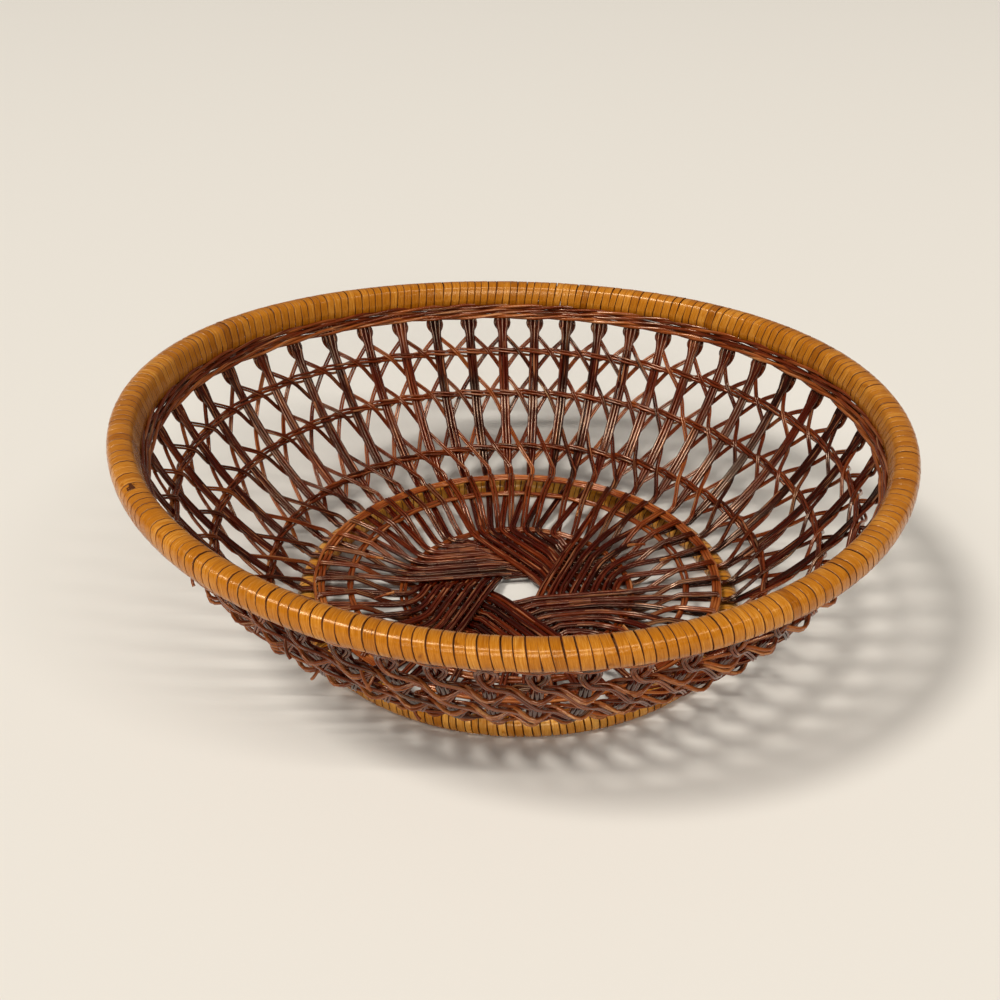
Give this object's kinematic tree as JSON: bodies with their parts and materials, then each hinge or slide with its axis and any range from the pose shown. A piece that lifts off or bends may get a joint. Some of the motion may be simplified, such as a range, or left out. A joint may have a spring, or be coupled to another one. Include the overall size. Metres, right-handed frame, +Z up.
{
  "type": "rattan bowl",
  "caption": "Round open-work rattan bowl with a laced lattice wall, a whirl base round a small hole, and cane-bound rim and foot rings.",
  "frame": {"origin": "on the table under the middle of the bowl", "axes": "+Z up through the mouth, -Y toward the viewer of the picture"},
  "size_m": [0.3376, 0.3257, 0.1014],
  "materials": {
    "dark_strand": "glossy stained rattan",
    "red_strand": "glossy stained rattan",
    "honey_cane": "varnished cane",
    "hoop_wood": "bare rattan rod"
  },
  "bodies": {
    "root": {"stake_01": "dark_strand", "stake_02": "dark_strand", "stake_03": "dark_strand", "stake_04": "dark_strand", "stake_05": "dark_strand", "stake_06": "dark_strand", "stake_07": "dark_strand", "stake_08": "dark_strand", "stake_09": "dark_strand", "stake_10": "dark_strand", "stake_11": "dark_strand", "stake_12": "dark_strand", "stake_13": "dark_strand", "stake_14": "dark_strand", "stake_15": "dark_strand", "stake_16": "dark_strand", "stake_17": "dark_strand", "stake_18": "dark_strand", "stake_19": "dark_strand", "stake_20": "dark_strand", "stake_21": "dark_strand", "stake_22": "dark_strand", "stake_23": "dark_strand", "stake_24": "dark_strand", "stake_25": "dark_strand", "stake_26": "dark_strand", "stake_27": "dark_strand", "stake_28": "dark_strand", "stake_29": "dark_strand", "stake_30": "dark_strand", "stake_31": "dark_strand", "stake_32": "dark_strand", "stake_33": "dark_strand", "stake_34": "dark_strand", "stake_35": "dark_strand", "stake_36": "dark_strand", "stake_37": "dark_strand", "stake_38": "dark_strand", "stake_39": "dark_strand", "stake_40": "dark_strand", "stake_41": "dark_strand", "stake_42": "dark_strand", "stake_43": "dark_strand", "stake_44": "dark_strand", "stake_45": "dark_strand", "stake_46": "dark_strand", "stake_47": "dark_strand", "stake_48": "dark_strand", "wall_lacing": "red_strand", "wall_ring_1": "red_strand", "wall_ring_2": "red_strand", "wall_ring_3": "red_strand", "twined_band": "red_strand", "joint_ring": "dark_strand", "base_ring_1": "red_strand", "base_ring_2": "red_strand", "rim_hoop": "hoop_wood", "rim_wrap": "honey_cane", "foot_hoop": "hoop_wood", "foot_wrap": "honey_cane"}
  },
  "joints": []
}
